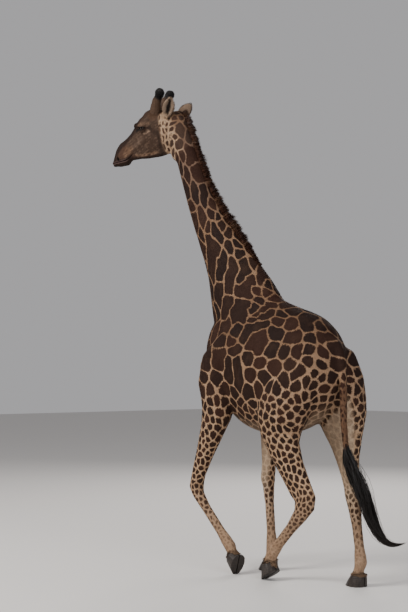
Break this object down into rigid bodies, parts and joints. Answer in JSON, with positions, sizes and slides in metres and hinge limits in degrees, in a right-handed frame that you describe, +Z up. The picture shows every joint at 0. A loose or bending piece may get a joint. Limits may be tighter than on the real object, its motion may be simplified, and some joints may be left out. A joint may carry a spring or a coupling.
{
  "type": "giraffe",
  "caption": "Still, life-size giraffe bull in a slow walk, its long neck raised and its head turned to the left; it stands on its hooves.",
  "frame": {"origin": "on the floor, below the middle of the animal's length and width", "axes": "+Z up; the animal faces -Y, and +X is its left side"},
  "size_m": [0.9602, 3.1188, 4.8082],
  "materials": {
    "coat": "short, flat hair: large dark red-brown patches parted by narrow tan lines",
    "mane": "short, stiff, upright dark red-brown hair",
    "tassel": "long, coarse, glossy black hair",
    "horn": "skin-covered horn with a worn, near-black tip",
    "hoof": "dull dark horn with faint growth rings and dust at the edge",
    "eye": "wet, very dark brown"
  },
  "bodies": {
    "root": {"head": "coat", "neck": "coat", "trunk": "coat", "tail": "coat", "tail_tuft": "tassel", "mane": "mane", "leg_hind_left": "coat", "leg_hind_right": "coat", "leg_fore_left": "coat", "leg_fore_right": "coat", "ear_left": "coat", "ear_right": "coat", "ossicone_left": "horn", "ossicone_right": "horn", "eye_left": "eye", "eye_right": "eye", "hoof_hind_left_outer": "hoof", "hoof_hind_left_inner": "hoof", "hoof_hind_right_outer": "hoof", "hoof_hind_right_inner": "hoof", "hoof_fore_left_outer": "hoof", "hoof_fore_left_inner": "hoof", "hoof_fore_right_outer": "hoof", "hoof_fore_right_inner": "hoof"}
  },
  "joints": []
}
